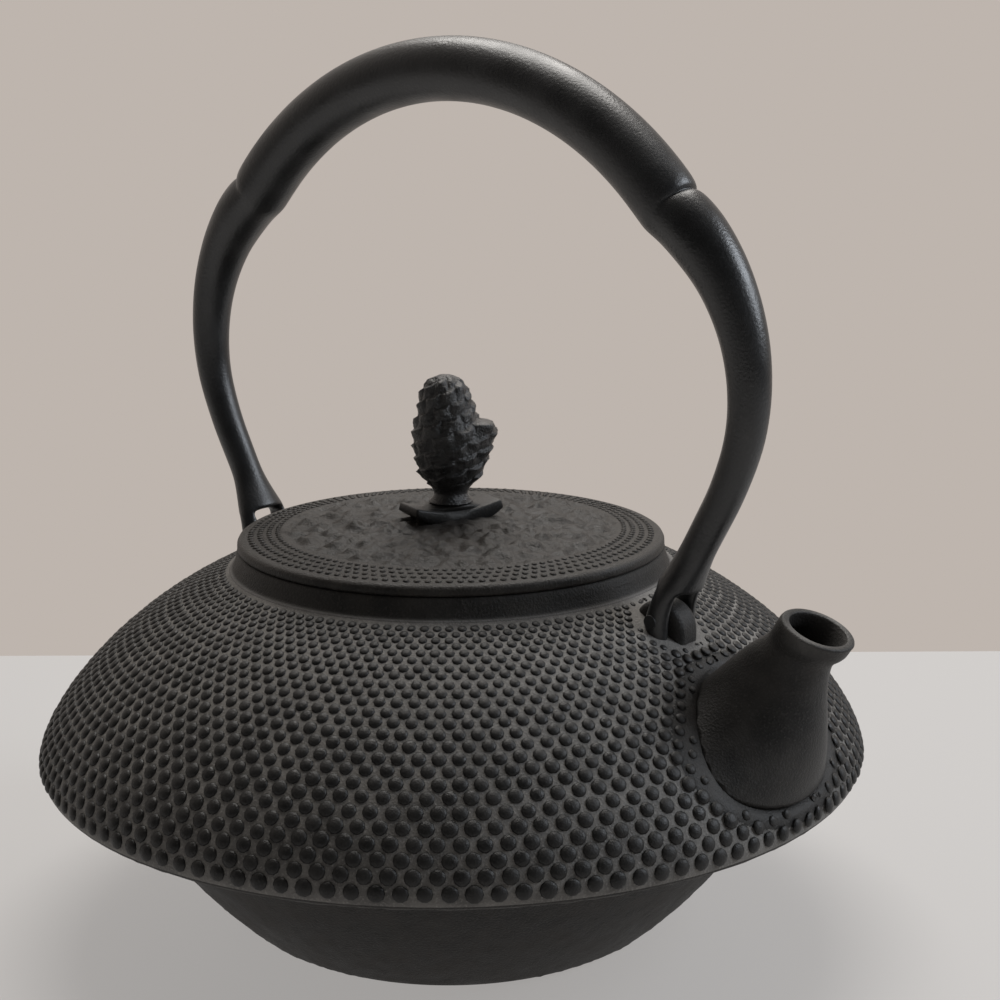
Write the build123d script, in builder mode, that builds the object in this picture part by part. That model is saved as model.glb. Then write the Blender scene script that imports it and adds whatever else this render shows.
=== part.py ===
"""Cast iron teapot: a wide arare kettle body with a fixed bail, a pine-cone lid knob and a strainer.

Millimetres. +Z is up, +X points to the spout, and the handle stands in the XZ plane.
The origin is the middle of the flat foot that the pot rests on.
"""

import os
from math import cos, radians, sin, tan

from build123d import *

os.makedirs("parts", exist_ok=True)

# ---------------------------------------------------------------- driving dimensions
BRIM_R = 100.0              # the body's widest lower edge
BRIM_Z = 40.8
FOOT_R = 53.3
BOWL_TOP_R = 84.6           # where the bowl meets the underside of the brim
FLOOR = 3.6                 # thickness of the foot; the walls are about 3.2
INNER_FOOT_R = 50.0         # hollow inside, from its floor to under the ledge
INNER_BOWL_TOP = (81.4, 44.2)
INNER_BRIM = (94.0, 44.2)
INNER_TOP = (52.8, 84.4)

COLLAR_FOOT_R = 54.0        # collar round the mouth
COLLAR_FOOT_Z = 87.4
COLLAR_R = 52.5
COLLAR_TOP = 92.5
MOUTH_R = 47.5              # bore that takes the lid's skirt
LEDGE_R = 44.5              # ledge that takes the strainer's rim
LEDGE_Z = 87.0

LID_EDGE_Z = 94.7
LID_CROWN_Z = 99.0
LID_THICK = 3.0
LID_EDGE_BEVEL = 0.6
LID_INNER_EDGE_Z = 92.9     # underside of the dome where it meets the skirt
SKIRT_R = 47.0
SKIRT_THICK = 2.6
SKIRT_Z = 88.2

CUT_THROUGH = 20.0          # depth of cuts that only have to go right through

SPOUT_MOUTH_NORMAL = 68.5   # degrees above horizontal
PASSAGE_ENTRY = 8.0         # how far the spout's passage is cut back through the shoulder
MOUTH_LIP_R = 8.35
MOUTH_BORE_R = 6.5

HANDLE_TOP_Z = 206.4        # centre line of the bail at its top
ARCH_R = 81.1               # middle arch of the bail
CREASE_ANGLE = 51.4         # degrees round that arch, from its top to each crease
SIDE_ARC_R = 48.0           # arcs at the bail's two sides
SIDE_ARC_X = 36.0
SIDE_ARC_Z = 136.5
GRIP_R = 7.5                # half the bail's thickness along the middle arch
SHANK_R = 3.9               # half its thickness just above the feet
SHANK_LEAN = 62.5           # degrees above horizontal that the straight shanks stand
SHANK_END_Z = 101.5

FOOT_X = 64.4               # middle of each lug and each forked foot
FOOT_DEPTH = 11.0           # of a forked foot along X
FORK_WIDTH = 16.4           # over the fork's two legs, along Y
FORK_GAP = 8.0              # between the legs
NOTCH_SPRING_Z = 88.4       # the arched notch between the legs
NOTCH_CROWN_Z = 91.4
LUG_WIDTH = 7.6
LUG_INNER = (56.4, 81.6)    # the lug's half-round top, from the collar outwards
LUG_CREST = (63.2, 88.4)
LUG_OUTER = (70.0, 81.6)
LUG_FOOT_Z = 72.0           # well inside the shoulder
LUG_ROUNDING = 1.8
PIN_Z = 84.9
PIN_R = 1.5
PIN_CLEARANCE = 0.05
PIN_PROUD = 0.15            # the pins' ends are peened and dressed nearly flush

STEM_R = 2.5
STEM_CLEARANCE = 0.08
PEEN_R = 3.8                # the stem's end, spread over the washer
PEEN_THICK = 1.6
WASHER_R = 5.0
WASHER_GAUGE = 0.8
SEAT_LENGTH = 24.0
SEAT_WIDTH = 12.0
SEAT_END_Z = 103.4
SEAT_BOSS_Z = 102.4
SEAT_BOSS_R = 5.9
SEAT_CORNER_R = 0.8
SEAT_TURN = 67.0            # degrees, how the saddle happens to stand on the lid
KNOB_TOP_Z = 134.3

BASKET_R = 43.3
BASKET_GAUGE = 0.6
BASKET_FLOOR_Z = 42.0
RIM_GAUGE = 0.8


# ---------------------------------------------------------------- kettle body
# One hollow casting: bowl, brim, domed shoulder and collar. The blank is the same
# outline filled in, used to seat the spout and the lugs on the shoulder exactly.
SHOULDER_POLES = [(BRIM_R, BRIM_Z), (106.6, 43.6), (88.2, 73.4), (COLLAR_FOOT_R, COLLAR_FOOT_Z)]
INNER_SHOULDER_POLES = [INNER_BRIM, (101.6, 46.2), (85.6, 70.9), INNER_TOP]
BOWL_POLES = [(FOOT_R, 0), (72.8, 17.5), (BOWL_TOP_R, BRIM_Z)]
INNER_BOWL_POLES = [(INNER_FOOT_R, FLOOR), (69.4, 19.6), INNER_BOWL_TOP]

with BuildPart() as blank:
    with BuildSketch(Plane.XZ):
        with BuildLine():
            Line((0, 0), (FOOT_R, 0))
            Bezier(*BOWL_POLES)
            Line((BOWL_TOP_R, BRIM_Z), (BRIM_R, BRIM_Z))
            Bezier(*SHOULDER_POLES)
            Polyline((COLLAR_FOOT_R, COLLAR_FOOT_Z), (COLLAR_R, COLLAR_TOP), (0, COLLAR_TOP), (0, 0))
        make_face()
    revolve(axis=Axis.Z)

with BuildPart() as hollow:
    with BuildSketch(Plane.XZ):
        with BuildLine():
            Line((0, FLOOR), (INNER_FOOT_R, FLOOR))
            Bezier(*INNER_BOWL_POLES)
            Line(INNER_BOWL_TOP, INNER_BRIM)
            Bezier(*INNER_SHOULDER_POLES)
            Polyline(
                INNER_TOP,
                (LEDGE_R, INNER_TOP[1]),
                (LEDGE_R, LEDGE_Z),
                (MOUTH_R, LEDGE_Z),
                (MOUTH_R, COLLAR_TOP + 1),
                (0, COLLAR_TOP + 1),
                (0, FLOOR),
            )
        make_face()
    revolve(axis=Axis.Z)

# ---------------------------------------------------------------- spout
# Sections along the spout from its root in the shoulder to its mouth: the section's centre
# in the XZ plane, the angle of its normal above horizontal, and the half-widths across
# the pot and up the spout, outside and inside.
SPOUT_SECTIONS = [
    # x, z, normal, outer across, outer along, inner across, inner along
    (86.7, 59.4, 51.5, 23.9, 17.0, 16.4, 10.4),
    (89.2, 64.1, 55.8, 17.5, 15.9, 13.6, 11.4),
    (92.0, 70.5, 60.0, 12.2, 13.4, 9.3, 10.4),
    (94.9, 77.8, 63.5, 8.5, 10.0, 5.9, 7.3),
    (98.4, 83.4, 66.0, 7.6, 7.9, 5.3, 5.5),
    (101.5, 86.4, SPOUT_MOUTH_NORMAL, 8.2, 8.2, 6.1, 6.1),
    (102.2, 88.2, SPOUT_MOUTH_NORMAL, MOUTH_LIP_R, MOUTH_LIP_R, MOUTH_BORE_R, MOUTH_BORE_R),
]


def section_plane(x, z, normal):
    """Plane across the spout, with its x direction along the pot's Y axis."""
    return Plane(origin=(x, 0, z), x_dir=(0, 1, 0), z_dir=(cos(radians(normal)), 0, sin(radians(normal))))


with BuildPart() as spout_passage:
    for x, z, normal, _, _, across, along in SPOUT_SECTIONS:
        with BuildSketch(section_plane(x, z, normal)):
            Ellipse(across, along)
    loft()
    with BuildSketch(section_plane(*SPOUT_SECTIONS[-1][:3])):
        Circle(MOUTH_BORE_R)
    extrude(amount=PASSAGE_ENTRY / 2)
    with BuildSketch(section_plane(*SPOUT_SECTIONS[0][:3])):
        Ellipse(SPOUT_SECTIONS[0][5], SPOUT_SECTIONS[0][6])
    extrude(amount=-PASSAGE_ENTRY)

with BuildPart() as spout:
    for x, z, normal, across, along, _, _ in SPOUT_SECTIONS:
        with BuildSketch(section_plane(x, z, normal)):
            Ellipse(across, along)
    loft()
    add(blank.part, mode=Mode.SUBTRACT)
    add(spout_passage.part, mode=Mode.SUBTRACT)

with BuildPart() as kettle_body:
    add(blank.part)
    add(hollow.part, mode=Mode.SUBTRACT)
    add(spout_passage.part, mode=Mode.SUBTRACT)

kettle_body.part.label = "kettle_body"
export_step(kettle_body.part, "parts/kettle_body.step")
spout.part.label = "spout"
export_step(spout.part, "parts/spout.step")

# ---------------------------------------------------------------- lugs
# A low rounded boss on the shoulder at each side, drilled across for the handle's pin.
for name, side in (("lug_front", 1), ("lug_rear", -1)):
    with BuildPart() as lug:
        with BuildSketch(Plane.XZ.offset(-LUG_WIDTH / 2)):
            with BuildLine():
                ThreePointArc(*[(side * x, z) for x, z in (LUG_INNER, LUG_CREST, LUG_OUTER)])
                Polyline(
                    (side * LUG_OUTER[0], LUG_OUTER[1]),
                    (side * LUG_OUTER[0], LUG_FOOT_Z),
                    (side * LUG_INNER[0], LUG_FOOT_Z),
                    (side * LUG_INNER[0], LUG_INNER[1]),
                )
            make_face()
        extrude(amount=LUG_WIDTH)
        top_edges = lug.edges().filter_by(GeomType.CIRCLE)
        fillet(top_edges, radius=LUG_ROUNDING)
        add(blank.part, mode=Mode.SUBTRACT)
        with BuildSketch(Plane.XZ.offset(-LUG_WIDTH)):
            with Locations((side * FOOT_X, PIN_Z)):
                Circle(PIN_R + PIN_CLEARANCE)
        extrude(amount=2 * LUG_WIDTH, mode=Mode.SUBTRACT)
    lug.part.label = name
    export_step(lug.part, f"parts/{name}.step")

# ---------------------------------------------------------------- handle
# A cast bail: a thick middle arch, a crease at each side, then slimmer side arcs and straight
# shanks that end in forked feet standing over the lugs.
ARCH_CENTRE_Z = HANDLE_TOP_Z - ARCH_R
CREASE_X = ARCH_R * sin(radians(CREASE_ANGLE))
CREASE_Z = ARCH_CENTRE_Z + ARCH_R * cos(radians(CREASE_ANGLE))

# angle above horizontal round the side arc, and half the bail's thickness there
SIDE_SECTIONS = [(55.2, 6.8), (45, 7.05), (30, 6.1), (12, 5.2), (0, 4.75), (-14, 4.35)]
ARC_END_ANGLE = SHANK_LEAN - 90
ARC_END_R = 4.05


def side_arc_point(angle):
    """Point on the side arc's centre line, as (x, z)."""
    return (
        SIDE_ARC_X + SIDE_ARC_R * cos(radians(angle)),
        SIDE_ARC_Z + SIDE_ARC_R * sin(radians(angle)),
    )


def cross_plane(x, z, down_angle):
    """Plane across the bail where it runs downwards at this angle from the vertical."""
    lean = radians(down_angle)
    return Plane(origin=(x, 0, z), x_dir=(0, 1, 0), z_dir=(sin(lean), 0, -cos(lean)))


ARC_END = side_arc_point(ARC_END_ANGLE)
SHANK_END_X = ARC_END[0] - (ARC_END[1] - SHANK_END_Z) / tan(radians(SHANK_LEAN))

with BuildPart() as side_bar:
    for angle, radius in SIDE_SECTIONS:
        with BuildSketch(cross_plane(*side_arc_point(angle), angle)):
            Circle(radius)
    with BuildSketch(cross_plane(*ARC_END, ARC_END_ANGLE)):
        Circle(ARC_END_R)
    with BuildSketch(cross_plane(SHANK_END_X, SHANK_END_Z, ARC_END_ANGLE)):
        Circle(SHANK_R)
    loft()

# The fishtail foot widens along Y to stand over the lug, with an arched notch between its legs.
# Its sections: centre in the XZ plane, lean of its normal, and the half-widths along Y and X.
FOOT_SECTIONS = [
    (SHANK_END_X, SHANK_END_Z, ARC_END_ANGLE, SHANK_R, SHANK_R),
    (67.9, 95.0, -19.0, 5.6, 4.3),
    (65.3, 89.5, -9.0, 7.5, 4.9),
    (FOOT_X, PIN_Z, 0, FORK_WIDTH / 2, FOOT_DEPTH / 2),
]
LEG_END_Z = PIN_Z - 12

with BuildPart() as foot:
    for x, z, lean, half_width, half_depth in FOOT_SECTIONS:
        with BuildSketch(cross_plane(x, z, lean)):
            Ellipse(half_width, half_depth)
    loft()
    with BuildSketch(cross_plane(FOOT_X, PIN_Z, 0)):
        Ellipse(FORK_WIDTH / 2, FOOT_DEPTH / 2)
    extrude(amount=PIN_Z - LEG_END_Z)
    # arched notch, right through along X
    with BuildSketch(Plane.YZ.offset(FOOT_X - FOOT_DEPTH)):
        with BuildLine():
            Line((-FORK_GAP / 2, LEG_END_Z), (FORK_GAP / 2, LEG_END_Z))
            Line((FORK_GAP / 2, LEG_END_Z), (FORK_GAP / 2, NOTCH_SPRING_Z))
            ThreePointArc(
                (FORK_GAP / 2, NOTCH_SPRING_Z),
                (0, NOTCH_CROWN_Z),
                (-FORK_GAP / 2, NOTCH_SPRING_Z),
            )
            Line((-FORK_GAP / 2, NOTCH_SPRING_Z), (-FORK_GAP / 2, LEG_END_Z))
        make_face()
    extrude(amount=2 * FOOT_DEPTH, mode=Mode.SUBTRACT)
    with BuildSketch(Plane.XZ.offset(-FORK_WIDTH)):
        with Locations((FOOT_X, PIN_Z)):
            Circle(PIN_R + PIN_CLEARANCE)
    extrude(amount=2 * FORK_WIDTH, mode=Mode.SUBTRACT)
    add(blank.part, mode=Mode.SUBTRACT)

with BuildPart() as handle:
    with BuildLine(Plane.XZ):
        ThreePointArc((-CREASE_X, CREASE_Z), (0, HANDLE_TOP_Z), (CREASE_X, CREASE_Z))
    with BuildSketch(Plane(origin=(0, 0, HANDLE_TOP_Z), z_dir=(1, 0, 0))):
        Circle(GRIP_R)
    sweep()
    with Locations((CREASE_X, 0, CREASE_Z)):
        Sphere(GRIP_R)
    add(side_bar.part)
    add(foot.part)
    mirror(about=Plane.YZ)

handle.part.label = "handle"
export_step(handle.part, "parts/handle.step")

# cross pins through each foot and lug
PIN_HALF_LENGTH = FORK_WIDTH / 2 + PIN_PROUD
for name, side in (("handle_pin_front", 1), ("handle_pin_rear", -1)):
    with BuildPart() as pin:
        with BuildSketch(Plane.XZ.offset(-PIN_HALF_LENGTH)):
            with Locations((side * FOOT_X, PIN_Z)):
                Circle(PIN_R)
        extrude(amount=2 * PIN_HALF_LENGTH)
    pin.part.label = name
    export_step(pin.part, f"parts/{name}.step")

# ---------------------------------------------------------------- lid
# A slightly domed disc that rests on the collar, with a locating skirt in the mouth.
def dome_z(radius, crown):
    """Height of the lid's shallow dome at this radius."""
    rise = LID_CROWN_Z - LID_EDGE_Z
    return crown - rise * (radius / COLLAR_R) ** 2


with BuildPart() as lid_blank:
    with BuildSketch(Plane.XZ):
        with BuildLine():
            Line((0, COLLAR_TOP), (COLLAR_R, COLLAR_TOP))
            Line((COLLAR_R, COLLAR_TOP), (COLLAR_R, LID_EDGE_Z - LID_EDGE_BEVEL))
            Line((COLLAR_R, LID_EDGE_Z - LID_EDGE_BEVEL), (COLLAR_R - LID_EDGE_BEVEL, LID_EDGE_Z))
            ThreePointArc(
                (COLLAR_R - LID_EDGE_BEVEL, LID_EDGE_Z),
                (COLLAR_R / 2, dome_z(COLLAR_R / 2, LID_CROWN_Z)),
                (0, LID_CROWN_Z),
            )
            Line((0, LID_CROWN_Z), (0, COLLAR_TOP))
        make_face()
    revolve(axis=Axis.Z)

SKIRT_BORE_R = SKIRT_R - SKIRT_THICK

with BuildPart() as lid:
    add(lid_blank.part)
    with BuildSketch(Plane.XZ):
        with BuildLine():
            Line((0, SKIRT_Z), (SKIRT_BORE_R, SKIRT_Z))
            Line((SKIRT_BORE_R, SKIRT_Z), (SKIRT_BORE_R, LID_INNER_EDGE_Z))
            ThreePointArc(
                (SKIRT_BORE_R, LID_INNER_EDGE_Z),
                (COLLAR_R / 2, dome_z(COLLAR_R / 2, LID_CROWN_Z - LID_THICK)),
                (0, LID_CROWN_Z - LID_THICK),
            )
            Line((0, LID_CROWN_Z - LID_THICK), (0, SKIRT_Z))
        make_face()
    revolve(axis=Axis.Z, mode=Mode.SUBTRACT)
    with BuildSketch(Plane.XY.offset(SKIRT_Z)):
        Circle(SKIRT_R)
        Circle(SKIRT_BORE_R, mode=Mode.SUBTRACT)
    extrude(amount=COLLAR_TOP - SKIRT_Z)
    with BuildSketch(Plane.XY.offset(COLLAR_TOP)):
        Circle(STEM_R + STEM_CLEARANCE)
    extrude(amount=CUT_THROUGH, mode=Mode.SUBTRACT)
lid.part.label = "lid"
export_step(lid.part, "parts/lid.step")

# ---------------------------------------------------------------- knob seat
# A saddle with turned-up ends and a round boss, lying across the lid under the pine cone.
SADDLE_R = 34.0
SADDLE_LOW_Z = 101.3
with BuildPart() as knob_seat:
    with BuildSketch(Plane.XY.offset(COLLAR_TOP).rotated((0, 0, SEAT_TURN))):
        RectangleRounded(SEAT_LENGTH, SEAT_WIDTH, SEAT_CORNER_R)
    extrude(amount=SEAT_END_Z - COLLAR_TOP)
    saddle_side = Plane(
        origin=(0, 0, 0),
        x_dir=(cos(radians(SEAT_TURN)), sin(radians(SEAT_TURN)), 0),
        z_dir=(sin(radians(SEAT_TURN)), -cos(radians(SEAT_TURN)), 0),
    )
    with BuildSketch(saddle_side.offset(-SEAT_WIDTH)):
        with Locations((0, SADDLE_LOW_Z + SADDLE_R)):
            Circle(SADDLE_R)
    extrude(amount=2 * SEAT_WIDTH, mode=Mode.SUBTRACT)
    with BuildSketch(Plane.XY.offset(COLLAR_TOP)):
        Circle(SEAT_BOSS_R)
    extrude(amount=SEAT_BOSS_Z - COLLAR_TOP)
    with BuildSketch(Plane.XY.offset(COLLAR_TOP)):
        Circle(STEM_R + STEM_CLEARANCE)
    extrude(amount=CUT_THROUGH, mode=Mode.SUBTRACT)
    add(lid_blank.part, mode=Mode.SUBTRACT)
knob_seat.part.label = "knob_seat"
export_step(knob_seat.part, "parts/knob_seat.step")

# ---------------------------------------------------------------- knob
# The cast pine cone. Each whorl of scales is a short cone that widens upwards under a sharp lip.
# The tip leans to one side, and on the other side one big scale stands proud of the widest whorl.
# Its stem passes through the saddle and the lid, and is peened over a washer.
TURNING_GAP = 0.1           # the knob's play over the saddle and the washer's under the lid
WASHER_TOP_Z = LID_CROWN_Z - LID_THICK - TURNING_GAP
STEM_END_Z = WASHER_TOP_Z - WASHER_GAUGE - PEEN_THICK
CONE_FOOT_Z = SEAT_BOSS_Z + TURNING_GAP
CONE_FOOT_R = 5.6
NECK_OUTLINE = [(4.5, 104.8), (4.6, 106.6)]
TIP_FOOT_Z = 119.0
TIP_FOOT_R = 8.0
TIP_END_R = 2.4
TIP_LEAN = 1.2              # how far the tip stands off the stem's axis
PROUD_TURN = 40.0           # degrees, which way the proud scale points
LOWER_WHORLS = [(110.5, 8.8), (113.6, 9.6), (116.8, 10.2), (120.0, 10.3)]
TIP_WHORLS = [(123.2, 8.2), (126.3, 7.1), (129.4, 6.0), (132.2, 4.7)]
WHORL_UNDERCUT = 1.4        # how far each whorl starts inside the lip below it
LIP_SLOPE = 0.9             # height in which it does so
# the proud scale's height, how far out its middle is, and its half-widths outwards and sideways
PROUD_SECTIONS = [(115.6, 6.0, 3.4, 3.6), (122.0, 7.2, 4.9, 5.0)]


def whorl_outline(whorls):
    """Outline points of stacked whorls, each lip followed by its undercut."""
    points = []
    for z, radius in whorls:
        points += [(radius, z), (radius - WHORL_UNDERCUT, z + LIP_SLOPE)]
    return points


with BuildPart() as knob:
    with BuildSketch(Plane.XZ):
        with BuildLine():
            Polyline(
                (0, CONE_FOOT_Z),
                (CONE_FOOT_R, CONE_FOOT_Z),
                *NECK_OUTLINE,
                *whorl_outline(LOWER_WHORLS),
                (0, LOWER_WHORLS[-1][0] + LIP_SLOPE),
                close=True,
            )
        make_face()
    revolve(axis=Axis.Z)
    tip_x = -TIP_LEAN * cos(radians(PROUD_TURN))
    tip_y = -TIP_LEAN * sin(radians(PROUD_TURN))
    with BuildSketch(Plane(origin=(tip_x, tip_y, 0), x_dir=(1, 0, 0), z_dir=(0, -1, 0))):
        with BuildLine():
            Polyline(
                (0, TIP_FOOT_Z),
                (TIP_FOOT_R, TIP_FOOT_Z),
                *whorl_outline(TIP_WHORLS),
                (TIP_END_R, KNOB_TOP_Z),
                (0, KNOB_TOP_Z),
                close=True,
            )
        make_face()
    revolve(axis=Axis((tip_x, tip_y, 0), (0, 0, 1)))
    # the scale that stands proud
    for z, reach, along, across in PROUD_SECTIONS:
        scale_x = reach * cos(radians(PROUD_TURN))
        scale_y = reach * sin(radians(PROUD_TURN))
        with BuildSketch(
            Plane(
                origin=(scale_x, scale_y, z),
                x_dir=(cos(radians(PROUD_TURN)), sin(radians(PROUD_TURN)), 0),
                z_dir=(0, 0, 1),
            )
        ):
            Ellipse(along, across)
    loft()
    with BuildSketch(Plane.XY.offset(STEM_END_Z)):
        Circle(STEM_R)
    extrude(amount=CONE_FOOT_Z - STEM_END_Z + 1)
    with BuildSketch(Plane.XY.offset(STEM_END_Z)):
        Circle(PEEN_R)
    extrude(amount=PEEN_THICK)
knob.part.label = "knob"
export_step(knob.part, "parts/knob.step")

with BuildPart() as knob_washer:
    with BuildSketch(Plane.XY.offset(WASHER_TOP_Z - WASHER_GAUGE)):
        Circle(WASHER_R)
        Circle(STEM_R + STEM_CLEARANCE, mode=Mode.SUBTRACT)
    extrude(amount=WASHER_GAUGE)
knob_washer.part.label = "knob_washer"
export_step(knob_washer.part, "parts/knob_washer.step")

# ---------------------------------------------------------------- strainer basket
# Lift-out stainless basket: its rim rests on the ledge in the mouth, and its wall and floor hang below.
with BuildPart() as strainer_rim:
    with BuildSketch(Plane.XY.offset(LEDGE_Z)):
        Circle(SKIRT_R)
        Circle(BASKET_R, mode=Mode.SUBTRACT)
    extrude(amount=RIM_GAUGE)
strainer_rim.part.label = "strainer_rim"
export_step(strainer_rim.part, "parts/strainer_rim.step")

with BuildPart() as strainer_wall:
    with BuildSketch(Plane.XY.offset(BASKET_FLOOR_Z)):
        Circle(BASKET_R)
        Circle(BASKET_R - BASKET_GAUGE, mode=Mode.SUBTRACT)
    extrude(amount=LEDGE_Z + RIM_GAUGE - BASKET_FLOOR_Z)
strainer_wall.part.label = "strainer_wall"
export_step(strainer_wall.part, "parts/strainer_wall.step")

with BuildPart() as strainer_floor:
    with BuildSketch(Plane.XY.offset(BASKET_FLOOR_Z - BASKET_GAUGE)):
        Circle(BASKET_R)
    extrude(amount=BASKET_GAUGE)
strainer_floor.part.label = "strainer_floor"
export_step(strainer_floor.part, "parts/strainer_floor.step")
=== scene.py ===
"""The looks of a cast iron kettle with a fixed bail, a pine-cone lid knob and a lift-out strainer.

Each piece is drawn in millimetres round the foot's middle and brought to metres when it is
finished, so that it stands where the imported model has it: +Z up, +X towards the spout.
"""

import random
from math import atan2, cos, exp, floor, hypot, pi, radians, sin

import bmesh
import bpy
from mathutils import Matrix, Vector, noise
from mathutils.bvhtree import BVHTree
from mathutils.geometry import interpolate_bezier


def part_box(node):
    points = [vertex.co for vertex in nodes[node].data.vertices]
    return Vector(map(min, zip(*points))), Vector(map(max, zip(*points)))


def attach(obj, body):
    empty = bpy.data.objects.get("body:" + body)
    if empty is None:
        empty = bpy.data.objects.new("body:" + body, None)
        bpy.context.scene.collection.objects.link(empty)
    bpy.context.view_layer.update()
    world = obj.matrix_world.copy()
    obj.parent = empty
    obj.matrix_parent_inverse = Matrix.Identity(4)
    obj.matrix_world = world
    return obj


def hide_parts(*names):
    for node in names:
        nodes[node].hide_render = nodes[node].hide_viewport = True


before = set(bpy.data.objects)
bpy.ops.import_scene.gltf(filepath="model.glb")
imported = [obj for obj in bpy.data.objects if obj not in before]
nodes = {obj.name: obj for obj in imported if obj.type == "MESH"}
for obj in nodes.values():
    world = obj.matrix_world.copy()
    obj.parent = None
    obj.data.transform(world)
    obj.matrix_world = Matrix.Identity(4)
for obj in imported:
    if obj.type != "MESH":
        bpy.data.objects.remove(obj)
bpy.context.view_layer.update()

# ---------------------------------------------------------------- spout
# A short iron spout with a finer skin than the kettle's, taken to be cast with it. It swells where it
# leaves the shoulder, narrows to a round neck and ends in a thick flared lip, square to the pour.
MM = 0.001
SPOUT_SECTIONS = [
    # x, z, normal above horizontal, outer half-widths across and along, inner across and along
    (86.7, 59.4, 51.5, 23.9, 17.0, 16.4, 10.4),
    (89.2, 64.1, 55.8, 17.5, 15.9, 13.6, 11.4),
    (92.0, 70.5, 60.0, 12.2, 13.4, 9.3, 10.4),
    (94.9, 77.8, 63.5, 8.5, 10.0, 5.9, 7.3),
    (97.9, 82.7, 66.0, 7.4, 7.7, 5.3, 5.5),
    (100.0, 84.9, 68.5, 8.1, 8.2, 5.7, 5.7),
    (100.7, 85.8, 68.5, 8.35, 8.35, 5.9, 5.9),
    (102.2, 88.2, 68.5, 8.35, 8.35, 6.5, 6.5),
]
SPOUT_SIDES = 64
STEPS_BETWEEN = 6
LIP_ROUNDING = 0.55


def loft(bm, rings, sides):
    """Skins a bar through rings, each a matrix that places the unit circle, and returns its last cap."""
    bmesh.ops.create_circle(bm, cap_ends=True, radius=1, segments=sides, matrix=rings[0])
    bm.faces.ensure_lookup_table()
    start = bm.faces[-1]
    grown = bmesh.ops.extrude_face_region(bm, geom=[start])["geom"]
    cap = next(item for item in grown if isinstance(item, bmesh.types.BMFace))
    bmesh.ops.transform(bm, matrix=rings[1] @ rings[0].inverted(), verts=cap.verts)
    return carry_on(bm, cap, rings[1:])


def carry_on(bm, cap, rings):
    """Extrudes a cap that lies on the first ring through the others, and returns the new cap."""
    for last, ring in zip(rings, rings[1:]):
        grown = bmesh.ops.extrude_face_region(bm, geom=[cap])["geom"]
        bmesh.ops.delete(bm, geom=[cap], context="FACES_ONLY")
        cap = next(item for item in grown if isinstance(item, bmesh.types.BMFace))
        bmesh.ops.transform(bm, matrix=ring @ last.inverted(), verts=cap.verts)
    return cap


def between(rows, steps):
    """Rows of numbers with smooth in-between rows added, steps to each gap."""
    ends = [rows[0]] + list(rows) + [rows[-1]]
    out = []
    for before, start, end, after in zip(ends, ends[1:], ends[2:], ends[3:]):
        for step in range(steps):
            t = step / steps
            row = []
            for a, b, c, d in zip(before, start, end, after):
                bend = 2 * a - 5 * b + 4 * c - d
                twist = 3 * b - a - 3 * c + d
                row.append(0.5 * (2 * b + (c - a) * t + bend * t**2 + twist * t**3))
            out.append(tuple(row))
    return out + [tuple(rows[-1])]


def spout_ring(x, z, normal, across, along, lift=0.0):
    """Matrix of an elliptical ring across the spout, lifted along its normal."""
    up, out = sin(radians(normal)), cos(radians(normal))
    return Matrix((
        (0, -up * along, out, x + lift * out),
        (across, 0, 0, 0),
        (0, out * along, up, z + lift * up),
        (0, 0, 0, 1),
    ))


dense = between(SPOUT_SECTIONS, STEPS_BETWEEN)
mouth = SPOUT_SECTIONS[-1]
rings = [spout_ring(x, z, n, a, b) for x, z, n, a, b, _, _ in dense[:-2]]
for inset, drop in ((0, LIP_ROUNDING), (0.12, 0.25), (0.35, 0.05), (LIP_ROUNDING + 0.1, 0)):
    rings.append(spout_ring(*mouth[:3], mouth[3] - inset, mouth[4] - inset, -drop))
for outset, drop in ((0.3, 0), (0.08, 0.12), (0, 0.35)):
    rings.append(spout_ring(*mouth[:3], mouth[5] + outset, mouth[6] + outset, -drop))
rings += [spout_ring(x, z, n, a, b) for x, z, n, _, _, a, b in reversed(dense[:-2])]

spout_bm = bmesh.new()
loft(spout_bm, rings, SPOUT_SIDES)
spout_bm.faces.ensure_lookup_table()
root_caps = [face for face in spout_bm.faces if len(face.verts) == SPOUT_SIDES]
loops = [edge for face in root_caps for edge in face.edges]
bmesh.ops.delete(spout_bm, geom=root_caps, context="FACES_ONLY")
bmesh.ops.bridge_loops(spout_bm, edges=loops)
bmesh.ops.recalc_face_normals(spout_bm, faces=spout_bm.faces)
spout_skin = BVHTree.FromBMesh(spout_bm)

# The kettle's outside, from the foot to the collar, is one outline turned round the Z axis.
body_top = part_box("kettle_body")[1].z / MM
BRIM = (100.0, 40.8)
FOOT_R = 53.3
COLLAR_FOOT = (54.0, 87.4)
COLLAR_R = 52.5


def curve(start, first, second, end, steps):
    """Points along a Bezier curve in the XZ plane, from (radius, height) pairs."""
    corners = [Vector((r, 0, z)) for r, z in (start, first, second, end)]
    return [(point.x, point.z) for point in interpolate_bezier(*corners, steps + 1)]


def thirds(start, middle, end):
    """The two inner poles of a cubic that is the same curve as the quadratic through these poles."""
    return [tuple(a + (b - a) * 2 / 3 for a, b in zip(side, middle)) for side in (start, end)]


BOWL_POLES = ((FOOT_R, 0.0), (72.8, 17.5), (84.6, BRIM[1]))
SHOULDER_POLES = (BRIM, (106.6, 43.6), (88.2, 73.4), COLLAR_FOOT)


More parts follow.
